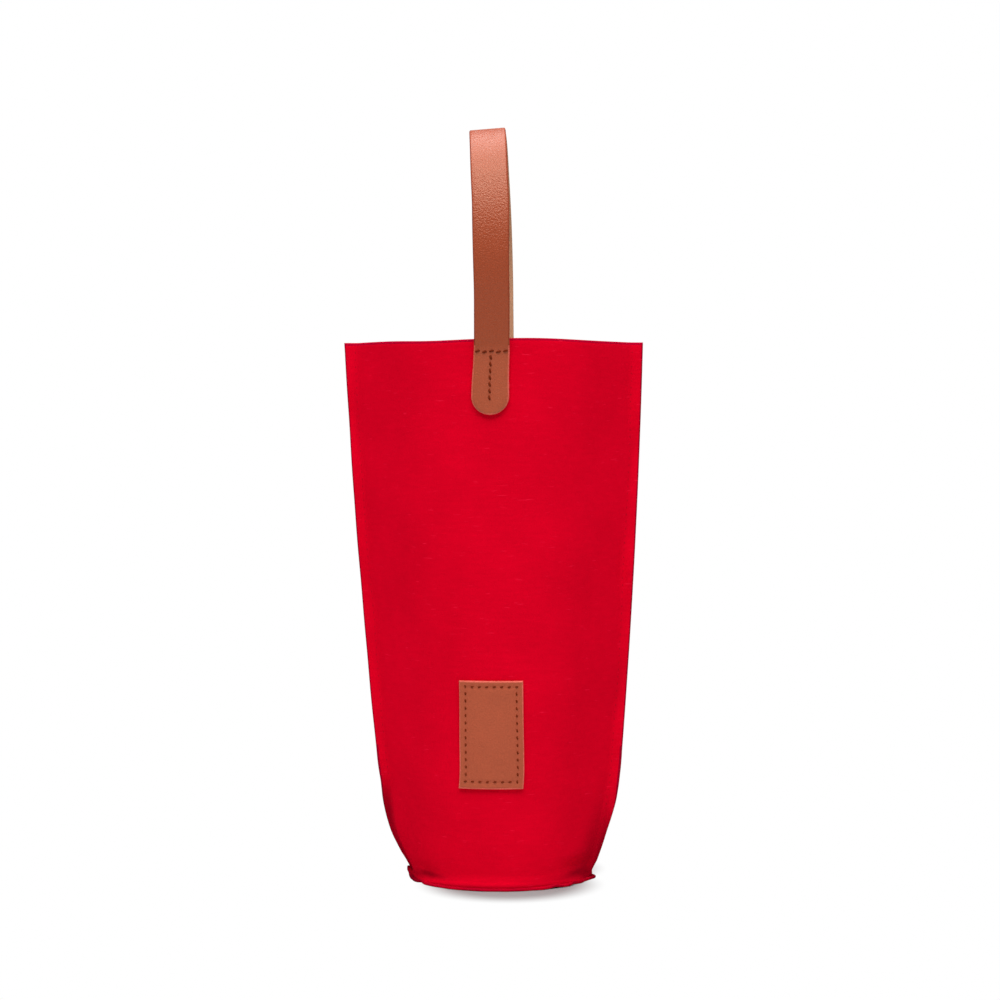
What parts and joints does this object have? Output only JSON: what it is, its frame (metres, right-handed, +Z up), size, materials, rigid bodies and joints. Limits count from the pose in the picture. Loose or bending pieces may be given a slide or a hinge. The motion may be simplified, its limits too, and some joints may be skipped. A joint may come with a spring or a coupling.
{
  "type": "bottle carrier",
  "caption": "Felt pouch for one bottle with outward seams, a round base, a leather strap loop as handle and a plain sewn leather patch.",
  "frame": {"origin": "on the floor under the middle of the base", "axes": "+Z up, +X to the right as seen from the front, the front with the patch faces -Y"},
  "size_m": [0.1402, 0.0918, 0.3535],
  "materials": {
    "felt": "matte pressed felt",
    "felt_thread": "matte thread",
    "strap_leather": "satin face, beige back",
    "leather_thread": "matte thread",
    "patch_leather": "matte, fine grain"
  },
  "bodies": {
    "carrier": {"front_panel": "felt", "rear_panel": "felt", "base_disc": "felt", "left_side_stitching": "felt_thread", "right_side_stitching": "felt_thread", "base_stitching": "felt_thread", "strap_front_end": "strap_leather", "strap_rear_end": "strap_leather", "front_tab_stitching": "leather_thread", "rear_tab_stitching": "leather_thread", "patch_stitching": "leather_thread", "patch": "patch_leather"},
    "handle": {"strap_loop": "strap_leather"}
  },
  "joints": [
    {"name": "handle_tilt", "type": "hinge", "parent": "carrier", "child": "handle", "pos_m": [0, 0, 0.2563], "axis": [0, 1, 0], "range_deg": [-45, 45], "stiffness_Nm_per_rad": 0.04, "deforming": ["strap_front_end", "strap_rear_end"]}
  ]
}
